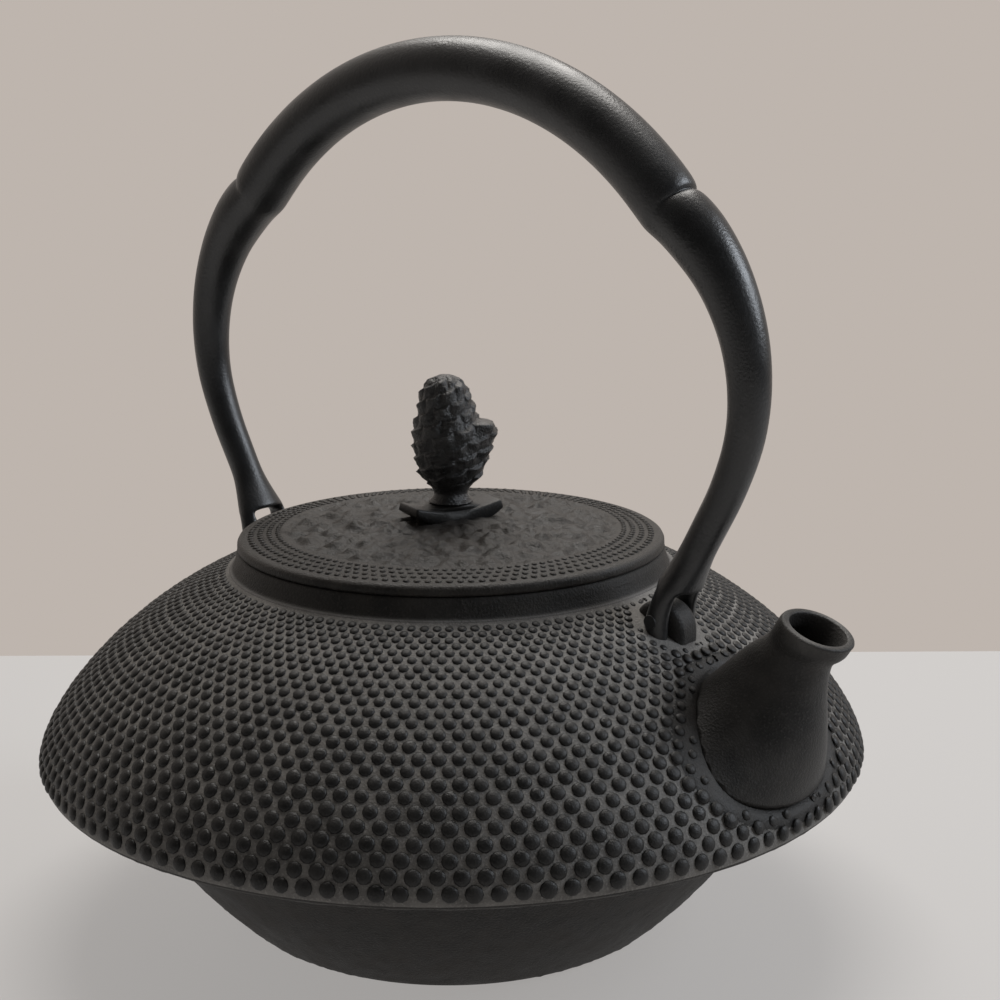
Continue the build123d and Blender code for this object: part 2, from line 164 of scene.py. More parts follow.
def turned(bm, outline, steps, closed=False):
    """Turns an outline of (radius, height) points into a full shell round the Z axis."""
    corners = [bmesh.ops.create_vert(bm, co=(r, 0, z))["vert"][0] for r, z in outline]
    links = list(zip(corners, corners[1:]))
    if closed:
        links.append((corners[-1], corners[0]))
    edges = [bm.edges.new(link) for link in links]
    bmesh.ops.spin(
        bm, geom=corners + edges, axis=(0, 0, 1), cent=(0, 0, 0), angle=2 * pi, steps=steps, use_merge=True
    )
    bmesh.ops.remove_doubles(bm, verts=bm.verts, dist=0.0005)
    bmesh.ops.dissolve_degenerate(bm, edges=bm.edges, dist=0.0002)


def cut_away(bm, cutter):
    """Takes one closed mesh away from another."""
    pair = []
    for name, source in (("kept", bm), ("cutter", cutter)):
        mesh = bpy.data.meshes.new(name)
        source.to_mesh(mesh)
        source.free()
        holder = bpy.data.objects.new(name, mesh)
        bpy.context.scene.collection.objects.link(holder)
        pair.append(holder)
    kept, tool = pair
    cut = kept.modifiers.new("cut", "BOOLEAN")
    cut.operation = "DIFFERENCE"
    cut.solver = "EXACT"
    cut.object = tool
    result = kept.evaluated_get(bpy.context.evaluated_depsgraph_get())
    out = bmesh.new()
    out.from_mesh(result.to_mesh())
    result.to_mesh_clear()
    for holder in pair:
        bpy.data.objects.remove(holder)
    return out


# The root is cut off just under the shoulder's skin
ROOT_DEPTH = 0.5
CUT_FROM_Z = 20.0
inside = bmesh.new()
outline = [(0.0, CUT_FROM_Z), (78.0, CUT_FROM_Z)]
outline += [(r - ROOT_DEPTH, z - ROOT_DEPTH) for r, z in curve(*SHOULDER_POLES, 40)]
outline += [(0.0, COLLAR_FOOT[1] - ROOT_DEPTH)]
turned(inside, outline, 180)
bmesh.ops.recalc_face_normals(inside, faces=inside.faces)
spout_bm = cut_away(spout_bm, inside)


# The iron is cast in sand and baked with lacquer until it is nearly black. Its skin keeps the sand's
# grain, and dust makes it lighter in places. Its lighter specks are painted glints, and lighter bands
# along chosen edges are painted highlights.
def iron_skin(name, dark, light, rough, grain_mm, relief_mm, gloss=0.25, painted_highlights=()):
    """Cast skin: cloudy colour between two tones, sand grain in relief with lighter specks painted as
    glints, and bands of painted highlight.

    A highlight band is its radius, its height, its reach and its colour.
    """
    material = bpy.data.materials.new(name)
    material.use_nodes = True
    tree = material.node_tree
    shader = tree.nodes["Principled BSDF"]
    place = tree.nodes.new("ShaderNodeTexCoord")

    def noise_of(size_mm, detail):
        node = tree.nodes.new("ShaderNodeTexNoise")
        node.inputs["Scale"].default_value = 1 / (size_mm * MM)
        node.inputs["Detail"].default_value = detail
        tree.links.new(place.outputs["Object"], node.inputs["Vector"])
        return node.outputs["Fac"]

    def spread(value, low, high, to_low, to_high):
        node = tree.nodes.new("ShaderNodeMapRange")
        tree.links.new(value, node.inputs["Value"])
        limits = {"From Min": low, "From Max": high, "To Min": to_low, "To Max": to_high}
        for socket, amount in limits.items():
            node.inputs[socket].default_value = amount
        return node.outputs["Result"]

    def mixed(share, first, second):
        node = tree.nodes.new("ShaderNodeMix")
        node.data_type = "RGBA"
        tree.links.new(share, node.inputs["Factor"])
        for socket, colour in ((6, first), (7, second)):
            if isinstance(colour, tuple):
                node.inputs[socket].default_value = (*colour, 1)
            else:
                tree.links.new(colour, node.inputs[socket])
        return node.outputs[2]

    clouds = noise_of(grain_mm * 14, 5)
    grain = noise_of(grain_mm, 6)
    # lighter specks at the grain's high points: painted glints of the rough skin
    glint_speck = spread(grain, 0.52, 0.78, 0, 0.8)
    colour = mixed(spread(clouds, 0.35, 0.68, 0, 1), dark, light)
    colour = mixed(glint_speck, colour, tuple(1.5 * tone for tone in light))
    # each band is a painted highlight: lighter colour laid along an edge where light catches it
    if painted_highlights:
        flat = tree.nodes.new("ShaderNodeVectorMath")
        flat.operation = "MULTIPLY"
        flat.inputs[1].default_value = (1, 1, 0)
        tree.links.new(place.outputs["Object"], flat.inputs[0])
        reach = tree.nodes.new("ShaderNodeVectorMath")
        reach.operation = "LENGTH"
        tree.links.new(flat.outputs[0], reach.inputs[0])
        split = tree.nodes.new("ShaderNodeSeparateXYZ")
        tree.links.new(place.outputs["Object"], split.inputs[0])
        for radius, height, band, tone in painted_highlights:
            shares = []
            for value, middle in ((reach.outputs["Value"], radius * MM), (split.outputs["Z"], height * MM)):
                gap = tree.nodes.new("ShaderNodeMath")
                gap.operation = "SUBTRACT"
                tree.links.new(value, gap.inputs[0])
                gap.inputs[1].default_value = middle
                size = tree.nodes.new("ShaderNodeMath")
                size.operation = "ABSOLUTE"
                tree.links.new(gap.outputs[0], size.inputs[0])
                shares.append(spread(size.outputs[0], 0, band * MM, 1, 0))
            both = tree.nodes.new("ShaderNodeMath")
            both.operation = "MULTIPLY"
            tree.links.new(shares[0], both.inputs[0])
            tree.links.new(shares[1], both.inputs[1])
            colour = mixed(both.outputs[0], colour, tone)
    tree.links.new(colour, shader.inputs["Base Color"])
    tree.links.new(spread(clouds, 0.3, 0.7, rough - 0.07, rough + 0.09), shader.inputs["Roughness"])
    bump = tree.nodes.new("ShaderNodeBump")
    bump.inputs["Strength"].default_value = 1
    bump.inputs["Distance"].default_value = relief_mm * MM
    tree.links.new(grain, bump.inputs["Height"])
    tree.links.new(bump.outputs["Normal"], shader.inputs["Normal"])
    shader.inputs["Specular IOR Level"].default_value = gloss
    return material


def finish_piece(bm, name, material, body, stands_for=()):
    """Turns a mesh drawn in millimetres into a finished piece in metres that rides on a body."""
    bmesh.ops.recalc_face_normals(bm, faces=bm.faces)
    bmesh.ops.scale(bm, vec=(MM, MM, MM), verts=bm.verts)
    for face in bm.faces:
        face.smooth = True
    mesh = bpy.data.meshes.new(name)
    bm.to_mesh(mesh)
    bm.free()
    mesh.materials.append(material)
    piece = bpy.data.objects.new(name, mesh)
    bpy.context.scene.collection.objects.link(piece)
    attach(piece, body)
    if stands_for:
        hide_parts(*stands_for)
    return piece


# The spout's skin is lighter round its lip: a painted highlight on the lip's top.
spout_iron = iron_skin("spout_iron", (0.020, 0.0195, 0.019), (0.040, 0.038, 0.036), 0.5, 0.5, 0.2,
                       painted_highlights=[(103.5, 90.0, 6.5, (0.15, 0.145, 0.138))])
finish_piece(spout_bm, "cast_spout", spout_iron, "pot", ["spout"])

# ---------------------------------------------------------------- kettle casting
# One thin sand casting: round foot, rough bowl, sharp brim, domed shoulder and a plain collar.
# The skin is smooth round the spout's root, inside a low ridge, and dressed smooth on the collar.
AROUND = 320
BEAD_RISE = 0.35
LEDGE_Z = 87.0
LEDGE_R = 44.5
MOUTH_R = 47.5
FLOOR_Z = 3.6
INNER_BOWL = ((50.0, FLOOR_Z), (69.4, 19.6), (81.4, 44.2))
INNER_SHOULDER = ((94.0, 44.2), (101.6, 46.2), (85.6, 70.9), (52.8, 84.4))
SHOULDER_ROUGH = 0.03
BOWL_ROUGH = 0.20
PASSAGE_SPAN = (-9, 6)      # how far the passage into the spout runs, along the spout's axis

outline = [(0.0, 0.25), (30.0, 0.2), (FOOT_R - 3.2, 0.0), (FOOT_R - 0.8, 0.0), (FOOT_R - 0.1, 0.5)]
outline += curve(BOWL_POLES[0], *thirds(*BOWL_POLES), BOWL_POLES[2], 26)[1:]
outline += [(86.5, 40.8), (91.0, 40.9), (96.0, 40.9), (BRIM[0] - 0.9, 40.8), (BRIM[0] - 0.25, 40.9)]
outline += curve(*SHOULDER_POLES, 52)[1:-1]
outline += [(COLLAR_FOOT[0] + 0.6, 87.25), (COLLAR_FOOT[0] + 0.35, 87.25 + BEAD_RISE)]
outline += [(COLLAR_FOOT[0] - 0.1, 87.75), (COLLAR_FOOT[0] - 0.45, 88.3), (COLLAR_R + 0.45, 90.2)]
outline += [(COLLAR_R + 0.1, body_top - 0.45), (COLLAR_R - 0.3, body_top - 0.1), (COLLAR_R - 1.0, body_top)]
outline += [(MOUTH_R + 0.4, body_top), (MOUTH_R, body_top - 0.4), (MOUTH_R, LEDGE_Z)]
outline += [(LEDGE_R, LEDGE_Z), (LEDGE_R, INNER_SHOULDER[3][1]), INNER_SHOULDER[3]]
outline += curve(*reversed(INNER_SHOULDER), 16)[1:]
outline += [(88.0, 44.2)]
outline += curve(INNER_BOWL[2], *reversed(thirds(*INNER_BOWL)), INNER_BOWL[0], 14)
outline += [(25.0, FLOOR_Z), (0.0, FLOOR_Z)]

casting = bmesh.new()
turned(casting, outline, AROUND)


def shoulder_height(radius):
    """Height of the shoulder's outside above the foot at a radius well inside the brim."""
    points = curve(*SHOULDER_POLES, 60)
    low, high = next(pair for pair in zip(points[20:], points[21:]) if pair[1][0] <= radius)
    return low[1] + (high[1] - low[1]) * (low[0] - radius) / (low[0] - high[0])


def outside(point):
    """True on the shoulder's outer face, between the brim and the collar."""
    radius = hypot(point.x, point.y)
    if radius < COLLAR_FOOT[0] + 1 or point.z < BRIM[1] + 1:
        return False
    return radius > 97 or point.z > shoulder_height(radius) - 1


ROOT_REACH = 9.0
ROOT_FROM_X = 66
ROOT_HALF_WIDTH = 34


def by_the_spout(point):
    """True where the spout's root may be near."""
    return point.x > ROOT_FROM_X and abs(point.y) < ROOT_HALF_WIDTH


near_root = {v for v in casting.verts if by_the_spout(v.co) and outside(v.co)
             and spout_skin.find_nearest(v.co, ROOT_REACH)[0]}
edges = [edge for edge in casting.edges if edge.verts[0] in near_root and edge.verts[1] in near_root]
bmesh.ops.subdivide_edges(casting, edges=edges, cuts=2, use_grid_fill=True)

RIDGE_OUT = 5.2
RIDGE_WIDTH = 0.9
RIDGE_RISE = 0.3
FILLET = 2.6
FILLET_RISE = 1.1
DARK_ROOT = 4.6             # the spout's own skin runs out this far on the shoulder


def root_lift(gap):
    """How far the skin rises at this distance from the spout: a low ridge, and a fillet at the root."""
    ridge = RIDGE_RISE * exp(-(((gap - RIDGE_OUT) / RIDGE_WIDTH) ** 2))
    return ridge + FILLET_RISE * max(0.0, 1 - gap / FILLET) ** 2


casting.normal_update()
for vert in casting.verts:
    point = vert.co.copy()
    radius = hypot(point.x, point.y)
    if outside(point):
        lift = SHOULDER_ROUGH * (noise.noise(point / 1.7) + noise.noise(point / 6))
        if by_the_spout(point):
            gap = spout_skin.find_nearest(point, ROOT_REACH)[3]
            if gap is not None:
                lift += root_lift(gap)
    elif 0.6 < point.z < BRIM[1] + 0.3 and radius > 50 + point.z * 0.83:
        lift = BOWL_ROUGH * noise.fractal(point / 2.4, 0.7, 2.1, 4)
    else:
        lift = 0.0
    vert.co += vert.normal * lift

passage = bmesh.new()
root = SPOUT_SECTIONS[0]
loft(passage, [spout_ring(*root[:3], root[5], root[6], lift) for lift in PASSAGE_SPAN], SPOUT_SIDES)
bmesh.ops.recalc_face_normals(passage, faces=passage.faces)
bmesh.ops.recalc_face_normals(casting, faces=casting.faces)
casting = cut_away(casting, passage)

# The thin lighter lines at the brim's lower edge and at the collar's foot are painted highlights; the
# brim's one is the white table's light reflected on its rounded edge.
body_iron = iron_skin("kettle_iron", (0.013, 0.0125, 0.0118), (0.034, 0.0315, 0.029), 0.58, 0.55, 0.30,
                      painted_highlights=[(99.9, 41.0, 1.0, (0.11, 0.105, 0.10)), (54.3, 87.5, 0.7, (0.15, 0.145, 0.14))])
# The shoulder's outer face is much lighter than the rest of the iron: partly dust, and partly painted sheen
# where it faces the light above.
shoulder_dust_and_sheen = iron_skin("shoulder_dust_and_sheen", (0.105, 0.101, 0.096), (0.190, 0.182, 0.171), 0.56, 0.5, 0.20)
kettle = finish_piece(casting, "kettle_casting", body_iron, "pot", ["kettle_body"])
kettle.data.materials.append(shoulder_dust_and_sheen)
kettle.data.materials.append(spout_iron)
# The shoulder's outer faces take this lighter colour of dust and painted sheen, and those round the spout's
# root take the spout's darker skin.
for face in kettle.data.polygons:
    middle = face.center / MM
    if outside(middle) and hypot(middle.x, middle.y) > COLLAR_FOOT[0] + 1.2:
        face.material_index = 2 if spout_skin.find_nearest(middle, DARK_ROOT)[0] else 1

# ---------------------------------------------------------------- lugs
# Two low rounded lugs cast on the shoulder, fore and aft of the mouth, that the handle's feet stand
# astride. They have the same fine dark skin as the spout.
for lug in ("lug_front", "lug_rear"):
    nodes[lug].material_slots[0].material = spout_iron

# ---------------------------------------------------------------- nubs
# Rows of small round nubs that are pressed into the mould by hand, so they stand proud of the
# casting. Every row has as many as the next, half a step round, and they fade near the spout.
NUBS_ROUND = 128
FIRST_ROW = 2.3
ROW_STEP = 0.685            # spacing of the rows, as a share of the spacing round the row
SMOOTH_BAND = 3.6           # left plain above the brim
NUB_SHARE = 0.375           # a nub's radius, as a share of the spacing round the row
NUB_HEIGHT = 0.40           # its height, as a share of its radius
NUB_ROOT = 0.15             # how deep it is sunk, as a share of its height
LEAST_SHARE = 0.2           # where less of a nub than this would be left, there is none
UPPER_ROWS = 12             # the smaller nubs, up near the collar
hand = random.Random(11)


def node_skin(name):
    """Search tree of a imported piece, in millimetres."""
    bm = bmesh.new()
    bm.from_mesh(nodes[name].data)
    bmesh.ops.scale(bm, vec=(1 / MM, 1 / MM, 1 / MM), verts=bm.verts)
    skin = BVHTree.FromBMesh(bm)
    bm.free()
    return skin


keep_clear = [(spout_skin, 0.6, 5.0)]
keep_clear += [(node_skin(name), 0.9, 3.0) for name in ("lug_front", "lug_rear", "handle")]


def presence(point):
    """How much of a nub there is at a point: none against the spout or a lug, all of it further out."""
    share = 1.0
    for skin, near, far in keep_clear:
        gap = skin.find_nearest(point, far)[3]
        if gap is not None:
            share = min(share, max(0.0, (gap - near) / (far - near)))
    return share


def nub_row(whole, radius, height, lean, count, size, rise, half_step, sides=8, fades=True):
    """Adds one ring of nubs standing on a cone that leans by this angle from the level."""
    bm = bmesh.new()
    bmesh.ops.create_uvsphere(bm, u_segments=sides, v_segments=8, radius=1)
    bmesh.ops.bisect_plane(
        bm, geom=bm.verts[:] + bm.edges[:] + bm.faces[:], plane_co=(0, 0, -NUB_ROOT),
        plane_no=(0, 0, 1), clear_inner=True,
    )
    bmesh.ops.holes_fill(bm, edges=bm.edges)
    per_nub = len(bm.verts)
    seat = Matrix.Translation((radius, 0, height)) @ Matrix.Rotation(lean, 4, "Y")
    bmesh.ops.scale(bm, vec=(size, size, rise), verts=bm.verts)
    bmesh.ops.transform(bm, matrix=seat, verts=bm.verts)
    start_turn = Matrix.Rotation(half_step * pi / count, 3, "Z")
    bmesh.ops.rotate(bm, cent=(0, 0, 0), matrix=start_turn, verts=bm.verts)
    bmesh.ops.spin(
        bm, geom=bm.verts[:] + bm.edges[:] + bm.faces[:], axis=(0, 0, 1), cent=(0, 0, 0),
        angle=2 * pi * (count - 1) / count, steps=count - 1, use_duplicate=True,
    )
    bm.verts.ensure_lookup_table()
    gone = []
    for index in range(count):
        turn = Matrix.Rotation((index + half_step / 2) * 2 * pi / count, 4, "Z")
        middle = (turn @ seat).to_translation()
        nub = bm.verts[index * per_nub:(index + 1) * per_nub]
        share = presence(middle) if fades else 1.0
        if share < LEAST_SHARE:
            gone += nub
            continue
        nudge = Vector((hand.uniform(-1, 1), hand.uniform(-1, 1), 0)) * size * 0.06
        grow = (0.45 + 0.55 * share) * hand.uniform(0.93, 1.06)
        gap = spout_skin.find_nearest(middle, ROOT_REACH)[3]
        nudge.z = root_lift(gap) if gap is not None else 0.0
        nudge = turn.to_3x3() @ seat.to_3x3() @ nudge
        for vert in nub:
            vert.co = middle + (vert.co - middle) * grow + nudge
    bmesh.ops.delete(bm, geom=gone, context="VERTS")
    mesh = bpy.data.meshes.new("row")
    bm.to_mesh(mesh)
    bm.free()
    whole.from_mesh(mesh)
    bpy.data.meshes.remove(mesh)


fine = [Vector((r, 0, z)) for r, z in reversed(curve(*SHOULDER_POLES, 400))]
lower_nubs = bmesh.new()
upper_nubs = bmesh.new()
travelled, wanted, row = 0.0, FIRST_ROW, 0
whole_length = sum((b - a).length for a, b in zip(fine, fine[1:]))
for a, b in zip(fine, fine[1:]):
    travelled += (b - a).length
    if travelled < wanted or travelled > whole_length - SMOOTH_BAND:
        continue
    pitch = 2 * pi * b.x / NUBS_ROUND
    along = (b - a).normalized()
    lean = atan2(-along.z, along.x)
    size = pitch * NUB_SHARE
    whole, sides = (upper_nubs, 8) if row < UPPER_ROWS else (lower_nubs, 10)
    nub_row(whole, b.x, b.z, lean, NUBS_ROUND, size, size * NUB_HEIGHT, row % 2, sides)
    wanted += ROW_STEP * pitch
    row += 1

nub_iron = iron_skin("nub_iron", (0.009, 0.0088, 0.0085), (0.020, 0.019, 0.018), 0.47, 0.4, 0.12, 0.35)
finish_piece(upper_nubs, "shoulder_nubs_upper", nub_iron, "pot")
finish_piece(lower_nubs, "shoulder_nubs_lower", nub_iron, "pot")

# ---------------------------------------------------------------- handle
# A cast bail, thick over the top and pinched by a crease at each side, then slimmer down to forked
# feet that stand astride the lugs. Lacquered smooth, with a soft gloss from years of hands.
HANDLE_TOP = 206.4
ARCH_R = 81.1
CREASE_ANGLE = 51.4
ARCH_STEPS = 12
GRIP_R = 7.5
SIDE_CENTRE = (36.0, 136.5)
SIDE_R = 48.0
# angle down each side arc, and the bar's radius there
SIDE_RADII = [(48, 7.08), (44, 7.0), (37, 6.55), (30, 6.1), (21, 5.6), (12, 5.2), (3, 4.85),
              (-6, 4.55), (-15, 4.3), (-27.5, 4.05)]
SHANK_LEAN = 62.5
SHANK_END = (71.9, 101.5)
SHANK_R = 3.9
CREASE_DEPTH = 1.3
CREASE_WRAP = 100.0         # degrees each way round the bar from its outer side
CREASE_SHARP = 0.7
HANDLE_SIDES = 16
# A round of 16 corners shrinks by this when its surface is subdivided
SHRINK = (4 + 2 * cos(2 * pi / HANDLE_SIDES)) / 6


def bar_ring(x, z, heading, wide, deep):
    """Ring across the bail where it runs at this heading below the level.

    Its half-widths are along Y and in the bail's own plane.
    """
    over, up = sin(radians(heading)), cos(radians(heading))
    return Matrix((
        (0, over * deep / SHRINK, up, x),
        (wide / SHRINK, 0, 0, 0),
        (0, up * deep / SHRINK, -over, z),
        (0, 0, 0, 1),
    ))


def on_arch(angle):
    """Place on the middle arch's centre line, at this angle from its top."""
    return ARCH_R * sin(radians(angle)), HANDLE_TOP - ARCH_R + ARCH_R * cos(radians(angle))


def on_side(angle):
    """Place on a side arc's centre line, at this angle above the level."""
    return SIDE_CENTRE[0] + SIDE_R * cos(radians(angle)), SIDE_CENTRE[1] + SIDE_R * sin(radians(angle))


# Each station along the bail is its x and z, its heading, its radius and its share of the crease
stations = []
for step in range(ARCH_STEPS + 1):
    angle = step * (CREASE_ANGLE - 2.4) / ARCH_STEPS
    stations.append((*on_arch(angle), angle, GRIP_R, 0))
stations.append((*on_arch(CREASE_ANGLE - 0.75), 48.5, 7.45, 0.25))
stations.append((*on_arch(CREASE_ANGLE), 43.0, 7.3, 1.0))
stations.append((*on_side(53.5), 38.5, 7.2, 0.4))
stations.append((*on_side(51.2), 39.0, 7.12, 0.08))
for angle, radius in SIDE_RADII:
    stations.append((*on_side(angle), 90 - angle, radius, 0))
side_x, side_z, _, side_r, _ = stations[-1]
for share in (0.35, 0.7, 1.0):
    x = side_x + (SHANK_END[0] - side_x) * share
    z = side_z + (SHANK_END[1] - side_z) * share
    stations.append((x, z, 180 - SHANK_LEAN, SHANK_R + (side_r - SHANK_R) * (1 - share), 0))
rings = [bar_ring(x, z, heading, radius, radius) for x, z, heading, radius, _ in stations]
# the fishtail: each ring's x and z, heading, and half-widths along Y and across
for place in ((70.5, 98.6, 114, 4.5, 4.0), (68.9, 95.5, 110, 5.5, 4.3), (67.4, 92.8, 105, 6.5, 4.6),
              (66.8, 91.6, 102, 6.9, 4.75)):
    rings.append(bar_ring(*place))

bail = bmesh.new()
crotch = loft(bail, rings, HANDLE_SIDES)
bail.verts.ensure_lookup_table()
hard = bail.edges.layers.float.new("crease_edge")
for ring, (_, _, heading, _, shade) in zip(rings, stations):
    if not shade:
        continue
    outward = Vector((sin(radians(heading)), 0, cos(radians(heading))))
    to_ring = ring.inverted()
    for vert in bail.verts:
        local = to_ring @ vert.co
        if abs(local.z) > 0.02 or abs(hypot(local.x, local.y) - 1) > 0.05:
            continue
        from_outer = abs(atan2(local.x, local.y))
        pinch = max(0.0, cos(from_outer * pi / 2 / radians(CREASE_WRAP)))
        deep = CREASE_DEPTH * shade * pinch ** 1.3 * (0.35 + 0.65 * max(0.0, cos(from_outer)))
        vert.co -= outward * deep
        vert.co.y -= CREASE_DEPTH * 0.5 * shade * pinch * sin(atan2(local.x, local.y))
to_crease = next(ring for ring, station in zip(rings, stations) if station[4] == 1.0).inverted()
for edge in bail.edges:
    ends = [to_crease @ vert.co for vert in edge.verts]
    level = abs(ends[0].z - ends[1].z) < 0.05
    if level and edge.calc_length() < 4 and all(abs(end.z) < 0.3 and end.y > 0.1 for end in ends):
        edge[hard] = CREASE_SHARP

# the fork: the last cap is split across, and its two outer parts run down as legs. A carried ring
# is scaled from its middle, so each leg's inner face is set straight again after every ring.
LEG_STATIONS = [(66.0, 89.8, 98, 7.4, 4.9), (65.2, 87.6, 94, 7.8, 5.1), (64.6, 85.0, 91, 8.1, 5.4),
                (64.4, 81.5, 90, 8.2, 5.5), (64.4, 77.5, 90, 8.2, 5.6)]
LEG_INNER = 4.0
LEG_INNER_REACH = 1.6
to_ring = rings[-1].inverted()


def crotch_verts(side):
    """The cap's two corners at the inner face of one leg."""
    wanted = [v for v in crotch.verts if 0.5 < side * (to_ring @ v.co).x < 0.8]
    return sorted(wanted, key=lambda v: (to_ring @ v.co).y)


for side in (1, -1):
    bmesh.ops.connect_verts(bail, verts=crotch_verts(side))
    legs = [f for f in bail.faces if all(abs((to_ring @ v.co).z) < 0.02 for v in f.verts)]
    crotch = max(legs, key=lambda f: -abs(f.calc_center_median().y))
for side in (1, -1):
    leg = next(f for f in bail.faces if all(abs((to_ring @ v.co).z) < 0.02 for v in f.verts)
               and side * f.calc_center_median().y > 4)
    last = rings[-1]
    for station in LEG_STATIONS:
        ring = bar_ring(*station)
        leg = carry_on(bail, leg, [last, ring])
        for vert in leg.verts:
            if abs(vert.co.y) < LEG_INNER + LEG_INNER_REACH:
                vert.co.y = side * LEG_INNER
        last = ring
top_cap = [f for f in bail.faces if all(abs(v.co.x) < 0.01 for v in f.verts)]
bmesh.ops.delete(bail, geom=top_cap, context="FACES_ONLY")
bmesh.ops.mirror(bail, geom=bail.verts[:] + bail.edges[:] + bail.faces[:], axis="X", merge_dist=0.01)

handle_iron = iron_skin("handle_lacquer", (0.009, 0.0095, 0.0102), (0.017, 0.0175, 0.0185), 0.36,
                        0.7, 0.09, 0.65)
handle = finish_piece(bail, "bail_handle", handle_iron, "pot", ["handle"])
round_off = handle.modifiers.new("round_off", "SUBSURF")
round_off.levels = round_off.render_levels = 2

# ---------------------------------------------------------------- pins and washer
# A cross pin holds each of the handle's feet on its lug, peened and dressed flush, and a washer under
# the lid holds the knob. All three are blackened steel.
pin_steel = iron_skin("pin_steel", (0.016, 0.016, 0.017), (0.030, 0.030, 0.031), 0.45, 0.3, 0.03, 0.5)
for pin in ("handle_pin_front", "handle_pin_rear", "knob_washer"):
    nodes[pin].material_slots[0].material = pin_steel

# ---------------------------------------------------------------- lid
# A shallow domed disc with a smooth rolled edge, four rings of fine nubs inside it and a hammered
# middle. A plain skirt below locates it in the kettle's mouth.
LID_EDGE_Z = 94.7
LID_CROWN_Z = 99.0
LID_R = 52.5
SKIRT = (47.0, 44.4, 88.2)    # outer radius, inner radius, lower edge
STEM_HOLE_R = 2.58
LID_THICK = 3.0
HAMMERED_R = 40.5
DENT_SPACING = 4.0
DENT_DEPTH = 2.3
DENT_MEAN = 0.30
RIPPLE = 0.6
NUB_RINGS = (49.2, 46.9, 44.7, 42.6)


def dome(radius, thick=0.0):
    """Height of the lid's dome at this radius, or that far under it."""
    return LID_CROWN_Z - thick - (LID_CROWN_Z - LID_EDGE_Z) * (radius / LID_R) ** 2


outline = [(SKIRT[0], SKIRT[2] + 0.3), (SKIRT[0], 92.5), (LID_R - 0.5, 92.5), (LID_R - 0.05, 92.75)]
outline += [(LID_R, 93.2), (LID_R - 0.05, 94.0), (LID_R - 0.35, 94.6)]
for inset, proud in ((0.9, 0.1), (1.6, 0.22), (2.2, 0.05)):
    outline.append((LID_R - inset, dome(LID_R - inset) + proud))
outline += [(radius, dome(radius)) for radius in [50 - 0.75 * step for step in range(61)]]
outline += [(STEM_HOLE_R, dome(STEM_HOLE_R)), (STEM_HOLE_R, dome(STEM_HOLE_R, LID_THICK))]
outline += [(radius, dome(radius, LID_THICK)) for radius in (10, 20, 30, 38)]
outline += [(SKIRT[1], 92.9), (SKIRT[1], SKIRT[2] + 0.3)]
outline += [(SKIRT[1] + 0.3, SKIRT[2]), (SKIRT[0] - 0.3, SKIRT[2])]
lid = bmesh.new()
turned(lid, outline, 288, closed=True)
for vert in lid.verts:
    radius = hypot(vert.co.x, vert.co.y)
    if vert.co.z < dome(radius) - 0.05 or radius > 50 or radius < STEM_HOLE_R + 0.4:
        continue
    share = min(1.0, max(0.0, (HAMMERED_R + 1 - radius) / 2)) * min(1.0, max(0.35, (radius - 7) / 8))
    point = Vector((vert.co.x, vert.co.y, 0))
    dents = noise.voronoi(point / DENT_SPACING)[0]
    vert.co.z += share * (DENT_DEPTH * (DENT_MEAN - dents[0]) + RIPPLE * noise.noise(point / 1.9))
    vert.co.z += 0.03 * noise.noise(point / 1.2)

# The lid's rolled edge is lighter: a painted highlight along the top of the edge.
lid_iron = iron_skin("lid_iron", (0.012, 0.011, 0.0098), (0.036, 0.0325, 0.029), 0.5, 0.5, 0.22,
                     painted_highlights=[(51.7, 94.7, 0.9, (0.05, 0.047, 0.044))])
finish_piece(lid, "lid_casting", lid_iron, "lid", ["lid"])

lid_nubs = bmesh.new()
for row, radius in enumerate(NUB_RINGS):
    pitch = 2 * pi * radius / NUBS_ROUND
    lean = 2 * (LID_CROWN_Z - LID_EDGE_Z) * radius / LID_R**2
    size, rise = pitch * 0.33, pitch * 0.17
    nub_row(lid_nubs, radius, dome(radius), lean, NUBS_ROUND, size, rise, row % 2, fades=False)
finish_piece(lid_nubs, "lid_nubs", lid_iron, "lid")

# ---------------------------------------------------------------- knob seat
# A short iron strap across the lid under the knob. Its ends turn up like a saddle, and a low round
# boss in its middle carries the pine cone. It stays with the lid when the knob turns.
SEAT_LENGTH = 24.0
SEAT_WIDTH = 10.4
SEAT_TURN = 67.0
SEAT_SADDLE_R = 38.0
SEAT_LOW_Z = 100.95
SEAT_END_THICK = 1.9
SEAT_FOOT_Z = 97.6
BOSS_R = 5.9
BOSS_TOP_Z = 102.4
BOSS_SQUEEZE = 0.86

seat = bmesh.new()
bmesh.ops.create_cube(seat, size=1)
bmesh.ops.scale(seat, vec=(SEAT_LENGTH, SEAT_WIDTH, 1), verts=seat.verts)
long_edges = [e for e in seat.edges if abs(e.verts[0].co.x - e.verts[1].co.x) > 1]
bmesh.ops.subdivide_edges(seat, edges=long_edges, cuts=11, use_grid_fill=True)
for vert in seat.verts:
    outward = (2 * vert.co.x / SEAT_LENGTH) ** 2
    top = SEAT_LOW_Z + vert.co.x ** 2 / (2 * SEAT_SADDLE_R)
    if vert.co.z > 0:
        vert.co.z = top
        vert.co.x *= 0.97
        vert.co.y *= 0.94
    else:
        vert.co.z = SEAT_FOOT_Z + outward * (top - SEAT_END_THICK - SEAT_FOOT_Z)
rim = [e for e in seat.edges if e.calc_face_angle(0) > 0.9
       and max(v.co.z for v in e.verts) > SEAT_LOW_Z + 0.25]
bmesh.ops.bevel(seat, geom=rim, offset=0.55, segments=3, profile=0.5, affect="EDGES", material=-1)
boss = bmesh.new()
